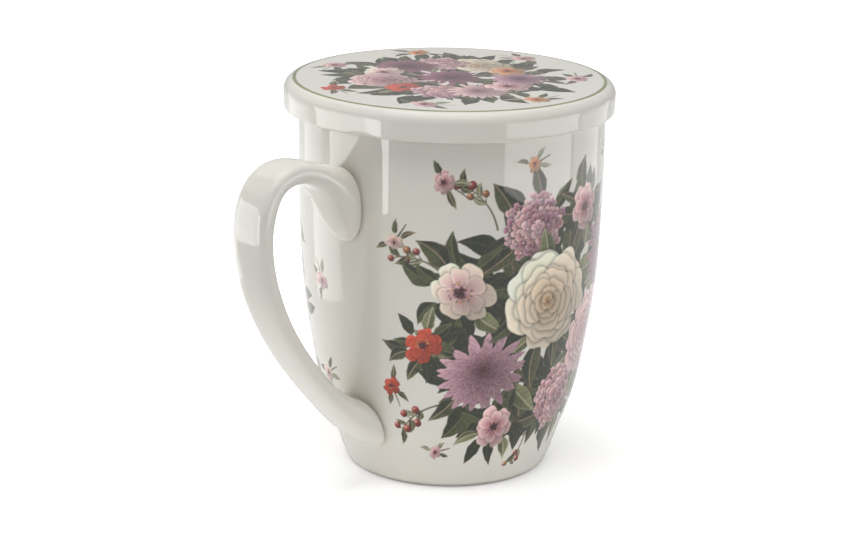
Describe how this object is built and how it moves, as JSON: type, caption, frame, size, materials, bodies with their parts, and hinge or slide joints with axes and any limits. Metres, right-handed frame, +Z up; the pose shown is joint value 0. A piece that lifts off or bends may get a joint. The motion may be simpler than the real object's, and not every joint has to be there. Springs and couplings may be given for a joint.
{
  "type": "lidded tea mug with infuser",
  "caption": "Tall porcelain tea mug with an oval strap handle, a flat lift-off lid and a steel infuser that hangs in its mouth.",
  "frame": {"origin": "centre of the foot ring, on the surface that the mug stands on", "axes": "+Z up along the mug's axis; the handle points along -X; the two printed faces of the mug look along -Y and +Y"},
  "size_m": [0.1242, 0.092, 0.1103],
  "materials": {
    "porcelain": "clear gloss glaze over warm white porcelain, foot ring and lid edge left bare",
    "stainless_steel": "satin rolled sheet"
  },
  "bodies": {
    "mug": {"mug_body": "porcelain", "handle": "porcelain"},
    "infuser": {"infuser_collar": "stainless_steel", "infuser_sleeve": "stainless_steel", "infuser_band": "stainless_steel", "infuser_screen": "stainless_steel"},
    "lid": {"lid": "porcelain"}
  },
  "joints": [
    {"name": "infuser_lift", "type": "slide", "parent": "mug", "child": "infuser", "axis": [0, 0, 1], "range_m": [0, 0.08]},
    {"name": "lid_lift", "type": "slide", "parent": "infuser", "child": "lid", "axis": [0, 0, 1], "range_m": [0, 0.06]}
  ]
}
